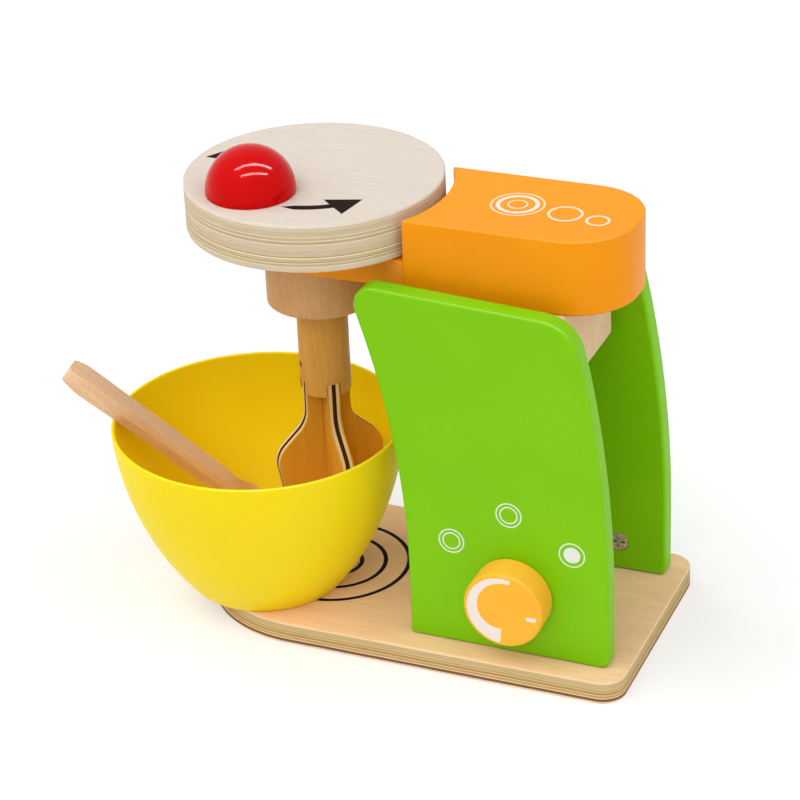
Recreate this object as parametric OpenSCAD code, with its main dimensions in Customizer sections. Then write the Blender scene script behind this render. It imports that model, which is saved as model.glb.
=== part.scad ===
// Toy stand mixer: base board, two side panels, a tilting head with a turntable that turns
// the beater, a loose bowl and spoon, and a dial. The origin is on the table, under the
// beater's axis. +X points to the rear, +Y to the far panel, +Z up.

/* [Base board] */
// Width of the board, and the diameter of its round front
base_w = 116.4; // [112:0.2:140]
// Length of the board behind the beater's axis
base_reach = 160.3; // [156:0.1:200]
// Thickness of the board
base_t = 10.9; // [9:0.1:16]
// Radius of its two rear corners
base_corner_r = 11; // [3:0.5:25]

/* [Side panels] */
// Thickness of a panel
panel_t = 10; // [9.5:0.1:14]
// Front edge at the foot, measured from the beater's axis
panel_front_x = 57.6; // [50:0.1:64]
// Rear edge at the foot, measured from the beater's axis
panel_rear_x = 151.8; // [140:0.1:156]
// Height of the top edge above the board at its front end
panel_front_h = 172; // [165:0.5:180]
// Height of the top edge above the board at its rear end
panel_rear_h = 166.7; // [160:0.1:175]
// Height above the board where the front edge starts to curve
front_curve_h = 33; // [10:1:60]
// Radius of the front edge's curve
front_curve_r = 395; // [350:1:900]
// Height above the board where the rear edge starts to curve
rear_curve_h = 34; // [10:1:60]
// Radius of the rear edge's curve
rear_curve_r = 560; // [400:1:1200]
// Radius of the top front corner
panel_front_corner_r = 9; // [2:0.5:14]
// Radius of the top rear corner
panel_rear_corner_r = 19; // [4:0.5:24]
// Radius of the rear corner at the foot
panel_foot_corner_r = 3.5; // [1:0.5:12]

/* [Panel bolts] */
// Diameter of a bolt's thread
bolt_d = 5; // [4:0.1:6]
// Diameter of a bolt's head
bolt_head_d = 8.6; // [7:0.1:9.4]
// Height of a bolt's head
bolt_head_h = 3.4; // [2.5:0.1:5]
// Size across the flats of the socket in a bolt's head
bolt_socket_w = 4; // [2.5:0.1:5]
// Depth that a bolt's head is sunk under the board
bolt_sink = 0.8; // [0.4:0.1:2]
// Distance from a bolt to the nearest edge of the panel's foot
bolt_inset = 23; // [14:0.5:34]
// Height of the barrel nuts above the board
nut_h = 14.5; // [10:0.1:22]
// Diameter of a barrel nut
nut_d = 9.6; // [8:0.1:12]
// Length of a barrel nut
nut_len = 8.2; // [7.6:0.1:9]
// Length of each slot of the cross in a barrel nut's face
nut_slot_len = 6.4; // [4:0.1:7.5]
// Width of each slot of that cross
nut_slot_w = 1.3; // [0.8:0.1:1.8]

/* [Pivot and stops] */
// Distance of the head's pivot behind the beater's axis
pivot_x = 100; // [97:0.5:104]
// Height of the pivot above the board
pivot_h = 144.1; // [140:0.1:147]
// Diameter of the pivot rod
pivot_d = 10; // [8:0.5:12]
// Outer diameter of the spacers on the pivot rod
spacer_d = 20; // [16:0.5:26]
// Thickness of a spacer
spacer_t = 4.7; // [3:0.1:7]
// Diameter of the two stop rods
stop_d = 10; // [8:0.5:12]
// Depth of the rods' seats in the panels
rod_seat = 7; // [4:0.5:8]
// Angle that the head tilts before its block meets the rear stop
tilt_angle = 60; // [40:1:70]
// Distance of the front stop behind the block's front face
front_stop_inset = 8; // [6:0.5:14]
// Distance of the rear stop's contact from the block's rear face
rear_stop_inset = 7.6; // [4:0.1:12]

/* [Pivot block] */
// Width of the block
block_w = 63; // [58:0.5:68]
// Distance of the block's front face before the pivot
block_front_reach = 43; // [36:0.5:50]
// Distance of the block's rear face behind the pivot
block_rear_reach = 27.6; // [26:0.1:35]
// Height of the block
block_h = 37; // [34:0.5:40]
// Height of the block's top above the pivot
block_above_pivot = 19; // [16:0.5:21]
// Distance of each block screw from the pivot
block_screw_offset = 19; // [16:0.5:20]
// Length of a block screw
block_screw_len = 50; // [46:0.5:56]

/* [Head block] */
// Width of the head block
head_w = 62; // [58:0.5:66]
// Rear end, measured from the beater's axis
head_rear_x = 151; // [140:0.5:165]
// Height of the head block
head_t = 34.5; // [30:0.5:42]
// Radius of its two rear corners
head_corner_r = 28; // [8:0.5:30]
// Thickness of the tongue under the turntable
tongue_t = 14.5; // [10:0.5:20]
// Width of the tongue
tongue_w = 54; // [50:0.5:58]
// Radius where the tongue widens into the head block
tongue_flare_r = 9; // [3:0.5:12]
// Gap between the turntable's rim and the head's hollow front
disc_gap = 4; // [2:0.1:6]

/* [Turntable] */
// Diameter of the turntable
disc_d = 116; // [108:0.5:120]
// Thickness of the turntable
disc_t = 22.1; // [20:0.1:28]
// Thickness of the washer under the turntable
disc_washer_t = 0.9; // [0.5:0.1:2]
// Outer diameter of that washer
disc_washer_d = 30; // [22:0.5:40]

/* [Knob] */
// Radius of the knob's half ball
knob_r = 20; // [14:0.5:22]
// Height of the straight edge under the half ball
knob_skirt = 1.3; // [0.5:0.1:4]
// Distance of the knob from the turntable's centre
knob_offset = 33.3; // [28:0.1:36]
// Direction of the knob from the turntable's centre
knob_angle = 238; // [0:1:359]

/* [Beater] */
// Diameter of the collar under the tongue
collar_d = 49; // [40:0.1:52]
// Height of the collar
collar_h = 23.6; // [18:0.1:28]
// Diameter of the beater shaft
shaft_d = 23.4; // [20:0.1:26]
// Length of the shaft below the thrust washer
shaft_len = 44.6; // [40:0.1:48]
// Diameter of the thinner part of the shaft in the collar and tongue
tenon_d = 14; // [10:0.5:16]
// Depth that the shaft reaches into the turntable
tenon_seat = 16; // [10:0.5:18]
// Thickness of the thrust washer under the collar
thrust_washer_t = 0.8; // [0.4:0.1:1.5]

/* [Blades] */
// Direction of blade A, seen from above
blade_angle = 43.5; // [0:0.1:89]
// Thickness of a blade
blade_t = 6.4; // [4:0.1:7]
// Length of a blade below the shaft
blade_drop = 61; // [54:0.5:64]
// Width of a blade's neck
neck_w = 21; // [16:0.1:22]
// Distance below the shaft where a blade starts to widen
flare_drop = 15.5; // [8:0.5:18]
// Radius where a blade starts to widen
flare_r = 14; // [4:0.5:18]
// Widest part of a blade
blade_w = 53.2; // [44:0.1:54]
// Distance below the shaft of a blade's widest part
shoulder_drop = 30.5; // [28:0.1:38]
// Radius of the shoulder at the widest part
shoulder_r = 12; // [2:0.5:14]
// Width of a blade at its lower end, before rounding
blade_foot_w = 42; // [30:0.5:44]
// Radius of the lower corners
blade_foot_r = 14; // [8:0.5:15]
// Gap between a blade and each side of the shaft's cross slot
slot_gap = 0.25; // [0.05:0.05:0.4]
// Depth of the cross slot in the shaft's lower end
slot_depth = 6.2; // [4:0.1:10]
// Width of blade B's tenon above the cross slot
blade_tenon_w = 14; // [10:0.5:16]
// Height of blade B's tenon above the cross slot
blade_tenon_h = 13; // [11:0.5:18]
// Height of the pin above the shaft's lower end
pin_h = 14; // [13:0.5:15]
// Diameter of the pin
pin_d = 3; // [2:0.1:4]

/* [Bowl] */
// Position of the bowl's axis, measured from the beater's axis
bowl_x = -26.6; // [-28:0.1:-22]
// Position of the bowl's axis across the board
bowl_y = -18.5; // [-20:0.1:0]
// Outer diameter of the rim
bowl_rim_d = 135.6; // [132:0.2:144]
// Outer diameter of the foot
bowl_foot_d = 72.6; // [68:0.2:80]
// Height of the bowl
bowl_h = 82.2; // [78:0.2:90]
// Thickness of the bowl's wall
bowl_wall = 1.8; // [1.4:0.1:2.4]
// Radius of the wall's curve, seen from the side
bowl_curve_r = 145; // [130:1:170]
// Radius between the wall and the floor inside
bowl_floor_r = 8; // [3:0.5:14]
// Height of the hollow under the floor, inside the foot ring
foot_hollow = 0.8; // [0.3:0.1:1.2]
// Width of the foot ring
foot_ring_w = 4; // [3:0.5:8]

/* [Spoon] */
// Length of the spoon
spoon_len = 144; // [136:0.5:155]
// Angle of the spoon below the horizontal
spoon_slope = 47.7; // [46:0.1:50]
// Direction of the spoon towards its tip, seen from above
spoon_heading = 43; // [38:1:47]
// Direction of the resting point on the rim, from the bowl's axis
spoon_rest_angle = 197.3; // [192:0.1:201]
// Width of the handle at its widest, near its end
handle_w = 11.6; // [9:0.2:13]
// Width of the handle's end face, before rounding
handle_end_w = 7; // [5:0.5:9]
// Length over which the handle narrows to its end
handle_taper = 10; // [6:0.5:16]
// Width of the handle next to the spoon's head
handle_neck_w = 9.6; // [8:0.2:11]
// Thickness of the spoon
spoon_t = 9; // [7:0.5:10]
// Length of the spoon's head
spoon_head_len = 40; // [36:0.5:46]
// Width of the spoon's head
spoon_head_w = 26; // [22:0.5:28]
// Radius of the hollow in the spoon's head
scoop_r = 19; // [16:0.5:30]
// Depth of that hollow
scoop_depth = 4; // [2:0.1:4.5]

/* [Dial] */
// Distance of the dial's axis behind the beater's axis
dial_x = 107.8; // [90:0.1:115]
// Height of the dial's axis above the board
dial_h = 30.6; // [24:0.1:40]
// Diameter of the dial
dial_d = 36.8; // [30:0.1:44]
// Thickness of the dial
dial_t = 14.7; // [12:0.1:20]
// Radius of the dial's front edge
dial_edge_r = 1.7; // [1:0.1:5]
// Thickness of the washer inside the panel
dial_washer_t = 1; // [0.6:0.1:2]
// Outer diameter of that washer
dial_washer_d = 14; // [10:0.5:20]

/* [Screws] */
// Diameter of the block, knob and dial screws
screw_d = 4; // [3:0.1:5]
// Diameter of their heads
screw_head_d = 8; // [7:0.1:9]
// Height of their heads
screw_head_h = 2.6; // [2:0.1:3.5]
// Length that the knob and dial screws reach into the wood
screw_grip = 11; // [8:0.5:12]

/* [Fits] */
// Clearance around a part that turns
running_fit = 0.1; // [0.05:0.01:0.1]
// Clearance around a part that is glued or screwed in
glue_fit = 0.05; // [0.02:0.01:0.1]
// Clearance around a bolt or a barrel nut
loose_fit = 0.25; // [0.1:0.05:0.4]
// Gap between two parts that rest on each other but can part
rest_gap = 0.3; // [0.2:0.05:0.5]
// Play along the axis of a part that turns
end_play = 0.2; // [0.1:0.05:0.4]

/* [Hidden] */
$fn = 96;

// Length that a cutting shape reaches past the face it cuts
over = 1;
// Steps along a rounded corner and along a long curved edge
corner_steps = 8;
edge_steps = 10;

// Heights
pivot_z = base_t + pivot_h;
block_top_z = pivot_z + block_above_pivot;
block_bottom_z = block_top_z - block_h;
tongue_top_z = block_top_z + tongue_t;
disc_z = tongue_top_z + disc_washer_t;
disc_top_z = disc_z + disc_t;
collar_z = block_top_z - collar_h;
shoulder_z = collar_z - thrust_washer_t - end_play;
shaft_end_z = shoulder_z - shaft_len;
slot_top_z = shaft_end_z + slot_depth;
blade_bottom_z = shaft_end_z - blade_drop;
tenon_top_z = disc_z + tenon_seat;
nut_z = base_t + nut_h;
dial_z = base_t + dial_h;

// Places across the toy
spacer_y = block_w / 2 + end_play;
panel_inner_y = spacer_y + spacer_t + end_play;
panel_outer_y = panel_inner_y + panel_t;
bolt_y = panel_inner_y + panel_t / 2;
bolt_places = [panel_front_x + bolt_inset, panel_rear_x - bolt_inset];

// Stop rods, in the frame of the pivot: the block's underside meets both
stop_depth = block_h - block_above_pivot + stop_d / 2 + rest_gap;
front_stop = [front_stop_inset - block_front_reach, -stop_depth];
rear_contact_x = block_rear_reach - rear_stop_inset;
rear_stop = [
    rear_contact_x * cos(tilt_angle) - stop_depth * sin(tilt_angle),
    -rear_contact_x * sin(tilt_angle) - stop_depth * cos(tilt_angle)
];

// Knob's place on the turntable
knob_place = [knob_offset * cos(knob_angle), knob_offset * sin(knob_angle)];

function unit(v) = v / norm(v);

// Points of one rounded corner at b, between its neighbours a and c. The radius is limited
// by the shorter of the two sides.
function corner_points(a, b, c, r) =
    let (
        u = unit(a - b),
        v = unit(c - b),
        half = acos(u * v) / 2,
        reach = min(r / tan(half), norm(a - b) * 0.95, norm(c - b) * 0.95),
        radius = reach * tan(half),
        centre = b + unit(u + v) * radius / sin(half),
        start = b + u * reach - centre,
        end = b + v * reach - centre,
        start_angle = atan2(start.y, start.x),
        turn = (atan2(end.y, end.x) - start_angle + 540) % 360 - 180
    )
    [for (i = [0 : corner_steps])
        let (angle = start_angle + turn * i / corner_steps)
        centre + radius * [cos(angle), sin(angle)]];

// Outline of a list of [x, y, radius], with each corner rounded by its radius
function rounded_outline(corners) =
    let (n = len(corners))
    [for (i = [0 : n - 1])
        let (
            a = corners[(i + n - 1) % n],
            b = corners[i],
            c = corners[(i + 1) % n]
        )
        each b[2] == 0
            ? [[b[0], b[1]]]
            : corner_points([a[0], a[1]], [b[0], b[1]], [c[0], c[1]], b[2])];

// The same corners and their mirror image below the x axis
function mirrored(corners) =
    concat(corners, [for (i = [len(corners) - 1 : -1 : 0])
        [corners[i][0], -corners[i][1], corners[i][2]]]);

// How far an edge that curves from a height has leant at another height
function lean(height, from, r) =
    height <= from ? 0 : r - sqrt(r * r - (height - from) * (height - from));

function front_edge_x(h) = panel_front_x - lean(h, front_curve_h, front_curve_r);
function rear_edge_x(h) = panel_rear_x - lean(h, rear_curve_h, rear_curve_r);

// Cylinder along Y from y = from to y = to
module rod_y(d, from, to) {
    translate([0, from, 0]) rotate([-90, 0, 0]) cylinder(d = d, h = to - from);
}

// Flat ring that stands on z = 0
module ring(outer_d, inner_d, h) {
    difference() {
        cylinder(d = outer_d, h = h);
        translate([0, 0, -over]) cylinder(d = inner_d, h = h + 2 * over);
    }
}

// Places its children in the pivot's frame
module at_pivot() {
    translate([pivot_x, 0, pivot_z]) children();
}

// Repeats its children at the four bolts
module at_bolts() {
    for (x = bolt_places, side = [-1, 1])
        translate([x, side * bolt_y, 0]) children();
}

// Base board

module base_outline() {
    circle(d = base_w);
    polygon(rounded_outline([
        [0, -base_w / 2, 0],
        [base_reach, -base_w / 2, base_corner_r],
        [base_reach, base_w / 2, base_corner_r],
        [0, base_w / 2, 0]
    ]));
}

module base_board() {
    color("#dabd96") difference() {
        linear_extrude(base_t) base_outline();
        at_bolts() {
            translate([0, 0, -over])
                cylinder(d = bolt_d + 2 * loose_fit, h = base_t + 2 * over);
            translate([0, 0, -over])
                cylinder(d = bolt_head_d + 2 * loose_fit, h = bolt_sink + bolt_head_h + over);
        }
    }
}

// Side panels, bolts and barrel nuts

function front_edge_points() =
    [for (i = [0 : edge_steps])
        let (h = front_curve_h + (panel_front_h - 14 - front_curve_h) * i / edge_steps)
        [front_edge_x(h), h, 0]];

function rear_edge_points() =
    [for (i = [edge_steps : -1 : 0])
        let (h = rear_curve_h + (panel_rear_h - 26 - rear_curve_h) * i / edge_steps)
        [rear_edge_x(h), h, 0]];

function panel_outline() = rounded_outline(concat(
    [[panel_front_x, 0, 0]],
    front_edge_points(),
    [[front_edge_x(panel_front_h), panel_front_h, panel_front_corner_r]],
    [[rear_edge_x(panel_rear_h), panel_rear_h, panel_rear_corner_r]],
    rear_edge_points(),
    [[panel_rear_x, 0, panel_foot_corner_r]]
));

// The far panel, with its bolt holes, barrel nut holes and rod seats
module plain_panel() {
    difference() {
        translate([0, panel_outer_y, base_t]) rotate([90, 0, 0])
            linear_extrude(panel_t) polygon(panel_outline());
        for (x = bolt_places) {
            translate([x, bolt_y, base_t - over])
                cylinder(d = bolt_d + 2 * loose_fit, h = nut_h + nut_d + over);
            translate([x, 0, nut_z])
                rod_y(nut_d + 2 * loose_fit, panel_inner_y - over, panel_inner_y + nut_len + rest_gap);
        }
        at_pivot() {
            rod_y(pivot_d + 2 * glue_fit, panel_inner_y - over, panel_inner_y + rod_seat);
            for (place = [front_stop, rear_stop])
                translate([place.x, 0, place.y])
                    rod_y(stop_d + 2 * glue_fit, panel_inner_y - over, panel_inner_y + rod_seat);
        }
    }
}

module far_panel() {
    color("#82c61d") plain_panel();
}

module near_panel() {
    color("#82c61d") difference() {
        mirror([0, 1, 0]) plain_panel();
        translate([dial_x, 0, dial_z])
            rod_y(screw_d + 2 * running_fit, -panel_outer_y - over, -panel_inner_y + over);
    }
}

module panel_bolt() {
    top_z = nut_z + nut_d / 2;
    difference() {
        union() {
            translate([0, 0, bolt_sink]) cylinder(d = bolt_head_d, h = bolt_head_h);
            translate([0, 0, bolt_sink]) cylinder(d = bolt_d, h = top_z - bolt_sink);
        }
        translate([0, 0, bolt_sink - over])
            cylinder(d = bolt_socket_w / cos(30), h = bolt_head_h * 0.6 + over, $fn = 6);
    }
}

module panel_bolts() {
    color("silver") at_bolts() panel_bolt();
}

// A barrel nut with its axis along Y, its slotted face at y = 0
module barrel_nut() {
    slot_depth = nut_slot_w;
    difference() {
        rod_y(nut_d, 0, nut_len);
        translate([0, panel_t / 2 - rest_gap, -nut_d])
            cylinder(d = bolt_d + 2 * glue_fit, h = 2 * nut_d);
        for (turn = [0, 90])
            rotate([0, turn, 0])
                translate([-nut_slot_len / 2, -over, -nut_slot_w / 2])
                    cube([nut_slot_len, slot_depth + over, nut_slot_w]);
    }
}

module barrel_nuts() {
    color("silver") for (x = bolt_places, side = [0, 1])
        mirror([0, side, 0])
            translate([x, panel_inner_y + rest_gap, nut_z]) barrel_nut();
}

// Pivot rod, spacers and stop rods

// A rod between the panels, seated in both
module cross_rod(d) {
    reach = panel_inner_y + rod_seat - glue_fit;
    rod_y(d, -reach, reach);
}

module pivot_rod() {
    color("#d9b382") at_pivot() cross_rod(pivot_d);
}

module pivot_spacers() {
    color("#d9b382") at_pivot() for (side = [0, 1])
        mirror([0, side, 0]) translate([0, spacer_y, 0]) rotate([-90, 0, 0])
            ring(spacer_d, pivot_d + 2 * glue_fit, spacer_t);
}

module stop_rod(place) {
    color("#d9b382") at_pivot() translate([place.x, 0, place.y]) cross_rod(stop_d);
}

module front_stop_rod() {
    stop_rod(front_stop);
}

module rear_stop_rod() {
    stop_rod(rear_stop);
}

// Pivot block and its screws

// Repeats its children at the two block screws
module at_block_screws() {
    for (side = [-1, 1])
        translate([pivot_x + side * block_screw_offset, 0, block_bottom_z]) children();
}

// A countersunk screw that points up, its head flush with z = 0
module countersunk_screw(length, clearance) {
    cylinder(d1 = screw_head_d + 2 * clearance, d2 = screw_d + 2 * clearance, h = screw_head_h);
    cylinder(d = screw_d + 2 * clearance, h = length + clearance);
}

// Cross recess in the head of a screw that points up
module cross_recess() {
    recess_w = screw_d / 4;
    for (turn = [0, 90])
        rotate(turn) translate([-screw_d / 2, -recess_w / 2, -over])
            cube([screw_d, recess_w, screw_head_h / 2 + over]);
}

module pivot_block() {
    color("#dfbf98") difference() {
        translate([pivot_x - block_front_reach, -block_w / 2, block_bottom_z])
            cube([block_front_reach + block_rear_reach, block_w, block_h]);
        at_pivot() rod_y(pivot_d + 2 * running_fit, -block_w, block_w);
        at_block_screws() countersunk_screw(block_screw_len, glue_fit);
    }
}

module block_screws() {
    color("silver") at_block_screws() difference() {
        countersunk_screw(block_screw_len, 0);
        cross_recess();
    }
}

// Head block

module head_outline() {
    polygon(rounded_outline(mirrored([
        [0, head_w / 2, 0],
        [head_rear_x, head_w / 2, head_corner_r]
    ])));
}

// The tongue is round under the turntable and widens until it is well inside the head block
module tongue_outline() {
    hollow_r = disc_d / 2 + disc_gap;
    inside_head = 1;
    flare_x = sqrt(hollow_r * hollow_r - head_w * head_w / 4) + inside_head;
    flare_start_x = flare_x - inside_head - tongue_flare_r;
    circle(d = tongue_w);
    polygon(rounded_outline(mirrored([
        [0, tongue_w / 2, 0],
        [flare_start_x, tongue_w / 2, tongue_flare_r],
        [flare_x, head_w / 2, 0],
        [head_rear_x, head_w / 2, head_corner_r]
    ])));
}

module head_block() {
    color("#feaf39") difference() {
        union() {
            translate([0, 0, block_top_z]) linear_extrude(tongue_t) tongue_outline();
            translate([0, 0, block_top_z]) linear_extrude(head_t) difference() {
                head_outline();
                circle(d = disc_d + 2 * disc_gap);
            }
        }
        translate([0, 0, block_top_z - over])
            cylinder(d = tenon_d + 2 * running_fit, h = tongue_t + 2 * over);
        at_block_screws() cylinder(d = screw_d + 2 * glue_fit, h = block_screw_len + glue_fit);
    }
}

module collar() {
    color("#b28155") translate([0, 0, collar_z])
        ring(collar_d, tenon_d + 2 * running_fit, collar_h);
}

module disc_washer() {
    color("#e8e4dc") translate([0, 0, tongue_top_z])
        ring(disc_washer_d, tenon_d + 2 * running_fit, disc_washer_t);
}

// Turntable and knob

module at_knob(z) {
    translate([knob_place.x, knob_place.y, z]) children();
}

module turntable_disc() {
    color("#ebe1d7") difference() {
        translate([0, 0, disc_z]) cylinder(d = disc_d, h = disc_t);
        translate([0, 0, disc_z - over])
            cylinder(d = tenon_d + 2 * glue_fit, h = tenon_seat + over);
        at_knob(disc_z) countersunk_screw(disc_t + over, glue_fit);
    }
}

module red_knob() {
    color("#e0060a") at_knob(disc_top_z) difference() {
        rotate_extrude() {
            square([knob_r, knob_skirt]);
            translate([0, knob_skirt]) intersection() {
                circle(r = knob_r);
                square(knob_r + over);
            }
        }
        translate([0, 0, -over])
            cylinder(d = screw_d + 2 * glue_fit, h = screw_grip + over + glue_fit);
    }
}

module knob_screw() {
    color("silver") at_knob(disc_z) difference() {
        countersunk_screw(disc_t + screw_grip, 0);
        cross_recess();
    }
}

// Beater shaft

// Two crossed slots as wide as the blades, from z = 0 up
module cross_slot(w, h) {
    for (turn = [0, 90])
        rotate(blade_angle + turn)
            translate([-shaft_d, -w / 2, 0]) cube([2 * shaft_d, w, h]);
}

// Pin hole or pin through the shaft, along blade A
module pin_rod(d, length) {
    translate([0, 0, shaft_end_z + pin_h]) rotate(blade_angle) rotate([0, 90, 0])
        cylinder(d = d, h = length, center = true);
}

module beater_shaft() {
    slot_w = blade_t + 2 * slot_gap;
    mortise_w = blade_tenon_w + 2 * glue_fit;
    mortise_t = blade_t + 2 * glue_fit;
    color("#ab7932") difference() {
        union() {
            translate([0, 0, shaft_end_z]) cylinder(d = shaft_d, h = shaft_len);
            translate([0, 0, shaft_end_z]) cylinder(d = tenon_d, h = tenon_top_z - shaft_end_z - glue_fit);
        }
        translate([0, 0, shaft_end_z - over]) cross_slot(slot_w, slot_depth + over);
        rotate(blade_angle + 90) translate([-mortise_w / 2, -mortise_t / 2, slot_top_z - over])
            cube([mortise_w, mortise_t, blade_tenon_h + over]);
        pin_rod(pin_d + 2 * glue_fit, 2 * shaft_d);
    }
}

module thrust_washer() {
    color("#e8e4dc") translate([0, 0, shoulder_z])
        ring(shaft_d, tenon_d + 2 * glue_fit, thrust_washer_t);
}

// Blades

// Half of a blade's outline, seen flat: x across, y up from the shaft's lower end
half_blade = [
    [neck_w / 2, slot_depth - glue_fit, 0],
    [neck_w / 2, -flare_drop, flare_r],
    [blade_w / 2, -shoulder_drop, shoulder_r],
    [blade_foot_w / 2, -blade_drop, blade_foot_r]
];

// Half of blade B's tenon
half_tenon = [
    [blade_tenon_w / 2, slot_depth + blade_tenon_h - glue_fit, 0],
    [blade_tenon_w / 2, slot_depth - glue_fit, 0]
];

// A half outline and its mirror image across the blade's middle
function whole_blade(half) = rounded_outline(concat(
    half,
    [for (i = [len(half) - 1 : -1 : 0]) [-half[i][0], half[i][1], half[i][2]]]
));

// Height of the middle of the lap joint, measured from the shaft's lower end
lap_y = (slot_depth - blade_drop) / 2;

// Stands a flat blade up in its plane through the beater's axis
module upright(angle) {
    translate([0, 0, shaft_end_z]) rotate(angle) rotate([90, 0, 0])
        linear_extrude(blade_t, center = true) children();
}

// Half of the lap joint, open upwards or downwards from its middle
module lap_slot(up) {
    lap_w = blade_t + 2 * glue_fit;
    mirror([0, up ? 0 : 1]) translate([-lap_w / 2, up ? lap_y : -lap_y])
        square([lap_w, blade_drop]);
}

module blade_a() {
    color("#c99a5b") upright(blade_angle) difference() {
        polygon(whole_blade(half_blade));
        lap_slot(true);
    }
}

module blade_b() {
    color("#c99a5b") difference() {
        upright(blade_angle + 90) difference() {
            polygon(whole_blade(concat(half_tenon, half_blade)));
            lap_slot(false);
        }
        pin_rod(pin_d + 2 * glue_fit, 2 * blade_t);
    }
}

module blade_pin() {
    color("#7a5230") pin_rod(pin_d, shaft_d - 4 * glue_fit);
}

// Dial, turned in the near panel by a screw from inside

module at_dial(y) {
    translate([dial_x, y, dial_z]) children();
}

module dial() {
    back_y = -panel_outer_y - rest_gap;
    color("#fcb83f") at_dial(back_y) rotate([90, 0, 0]) difference() {
        rotate_extrude() {
            square([dial_d / 2, dial_t - dial_edge_r]);
            square([dial_d / 2 - dial_edge_r, dial_t]);
            translate([dial_d / 2 - dial_edge_r, dial_t - dial_edge_r]) intersection() {
                circle(r = dial_edge_r);
                square(dial_edge_r + over);
            }
        }
        translate([0, 0, -over])
            cylinder(d = screw_d + 2 * glue_fit, h = screw_grip + over + glue_fit);
    }
}

module dial_washer() {
    color("silver") at_dial(-panel_inner_y + end_play) rotate([-90, 0, 0])
        ring(dial_washer_d, screw_d + 2 * glue_fit, dial_washer_t);
}

module dial_screw() {
    head_y = -panel_inner_y + end_play + dial_washer_t;
    tip_y = -panel_outer_y - rest_gap - screw_grip;
    color("silver") at_dial(0) difference() {
        union() {
            rod_y(screw_head_d, head_y, head_y + screw_head_h);
            rod_y(screw_d, tip_y, head_y + screw_head_h / 2);
        }
        translate([0, head_y + screw_head_h, 0]) rotate([90, 0, 0]) cross_recess();
    }
}

// Bowl

// Centre of the arc of the wall, in the plane through the bowl's axis
bowl_chord = [bowl_rim_d - bowl_foot_d, 2 * bowl_h] / 2;
bowl_arc_offset = sqrt(pow(bowl_curve_r, 2) - pow(norm(bowl_chord) / 2, 2));
bowl_arc_centre = [bowl_foot_d / 2, 0] + bowl_chord / 2
    + unit([-bowl_chord.y, bowl_chord.x]) * bowl_arc_offset;

// Radius of a wall surface at a height, for an arc of radius r
function wall_radius(r, height) =
    bowl_arc_centre.x + sqrt(r * r - pow(height - bowl_arc_centre.y, 2));

// Points along a wall surface from one height to another
function wall_points(r, from, to) =
    [for (i = [0 : edge_steps])
        let (height = from + (to - from) * i / edge_steps)
        [wall_radius(r, height), height, 0]];

function bowl_outline() =
    let (
        rim_r = bowl_wall / 2,
        inner_r = bowl_curve_r - bowl_wall,
        floor_z = foot_hollow + bowl_wall,
        ring_r = bowl_foot_d / 2 - foot_ring_w,
        foot_round = 1.5
    )
    rounded_outline(concat(
        [[0, foot_hollow, 0], [ring_r, foot_hollow, 0], [ring_r, 0, 0]],
        [[wall_radius(bowl_curve_r, 0), 0, foot_round]],
        wall_points(bowl_curve_r, 6, bowl_h - rim_r),
        [[wall_radius(bowl_curve_r, bowl_h), bowl_h, rim_r * 0.9]],
        [[wall_radius(inner_r, bowl_h), bowl_h, rim_r * 0.9]],
        wall_points(inner_r, bowl_h - rim_r, floor_z + bowl_floor_r * 1.5),
        [[wall_radius(inner_r, floor_z), floor_z, bowl_floor_r]],
        [[0, floor_z, 0]]
    ));

module bowl() {
    color("#f6d320") translate([bowl_x, bowl_y, base_t])
        rotate_extrude() polygon(bowl_outline());
}

// Spoon

// Length of the spoon inside the bowl, from the rim to the floor
spoon_reach = (bowl_h - foot_hollow - bowl_wall - 2 * rest_gap) / sin(spoon_slope);

// Places its children on the rim where the spoon rests: x runs down along the spoon. The
// spoon is rolled so that its underside lies along the rim.
module at_spoon() {
    rest_r = bowl_rim_d / 2 - bowl_wall;
    rim_skew = spoon_heading - spoon_rest_angle + 180;
    roll = atan(tan(rim_skew) * sin(spoon_slope));
    translate([
        bowl_x + rest_r * cos(spoon_rest_angle),
        bowl_y + rest_r * sin(spoon_rest_angle),
        base_t + bowl_h
    ])
        rotate([roll, spoon_slope, spoon_heading]) translate([0, 0, 2 * rest_gap]) children();
}

module spoon_outline() {
    end_x = spoon_reach - spoon_len;
    head_x = spoon_reach - spoon_head_len;
    head_r = spoon_head_w / 2;
    polygon(rounded_outline(mirrored([
        [end_x, handle_end_w / 2, 1],
        [end_x + handle_taper, handle_w / 2, handle_w],
        [head_x, handle_neck_w / 2, head_r],
        [head_x + head_r, head_r, head_r],
        [spoon_reach, head_r * 0.9, head_r * 0.9]
    ])));
}

module spoon() {
    scoop_x = spoon_reach - spoon_head_len * 0.46;
    color("#dfab68") at_spoon() difference() {
        linear_extrude(spoon_t) spoon_outline();
        translate([scoop_x, 0, spoon_t + scoop_r - scoop_depth]) sphere(r = scoop_r);
    }
}

base_board();
near_panel();
far_panel();
panel_bolts();
barrel_nuts();
pivot_rod();
pivot_spacers();
front_stop_rod();
rear_stop_rod();
pivot_block();
block_screws();
head_block();
collar();
disc_washer();
turntable_disc();
red_knob();
knob_screw();
beater_shaft();
thrust_washer();
blade_a();
blade_b();
blade_pin();
dial();
dial_screw();
dial_washer();
bowl();
spoon();
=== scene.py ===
import math

import bmesh
import bpy
from mathutils import Euler, Matrix, Vector


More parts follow.
